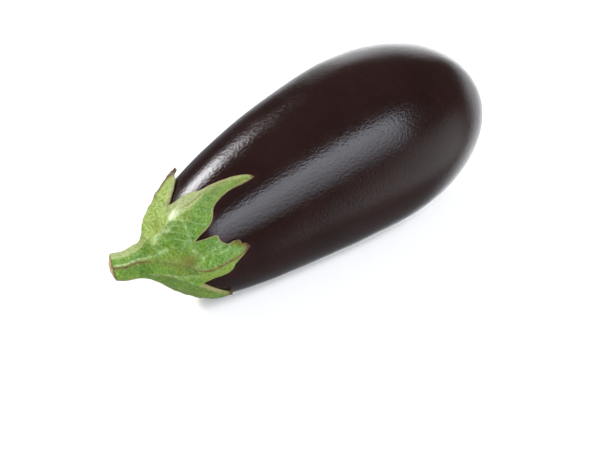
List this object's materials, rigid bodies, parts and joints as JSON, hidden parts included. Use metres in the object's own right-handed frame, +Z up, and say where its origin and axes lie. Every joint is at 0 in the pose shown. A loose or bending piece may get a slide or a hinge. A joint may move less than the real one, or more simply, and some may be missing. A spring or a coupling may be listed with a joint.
{
  "type": "whole eggplant",
  "caption": "Whole dark eggplant lying on its side, with a green pointed-lobed calyx and a short cut stem.",
  "frame": {"origin": "middle of the footprint, on the surface the eggplant lies on", "axes": "+X along the fruit from the stem to the blossom end, +Z up from the surface it lies on"},
  "size_m": [0.1946, 0.0798, 0.0797],
  "materials": {
    "skin": "gloss",
    "calyx": "satin",
    "stem": "satin"
  },
  "bodies": {
    "root": {"fruit": "skin", "calyx": "calyx", "stem": "stem"}
  },
  "joints": []
}
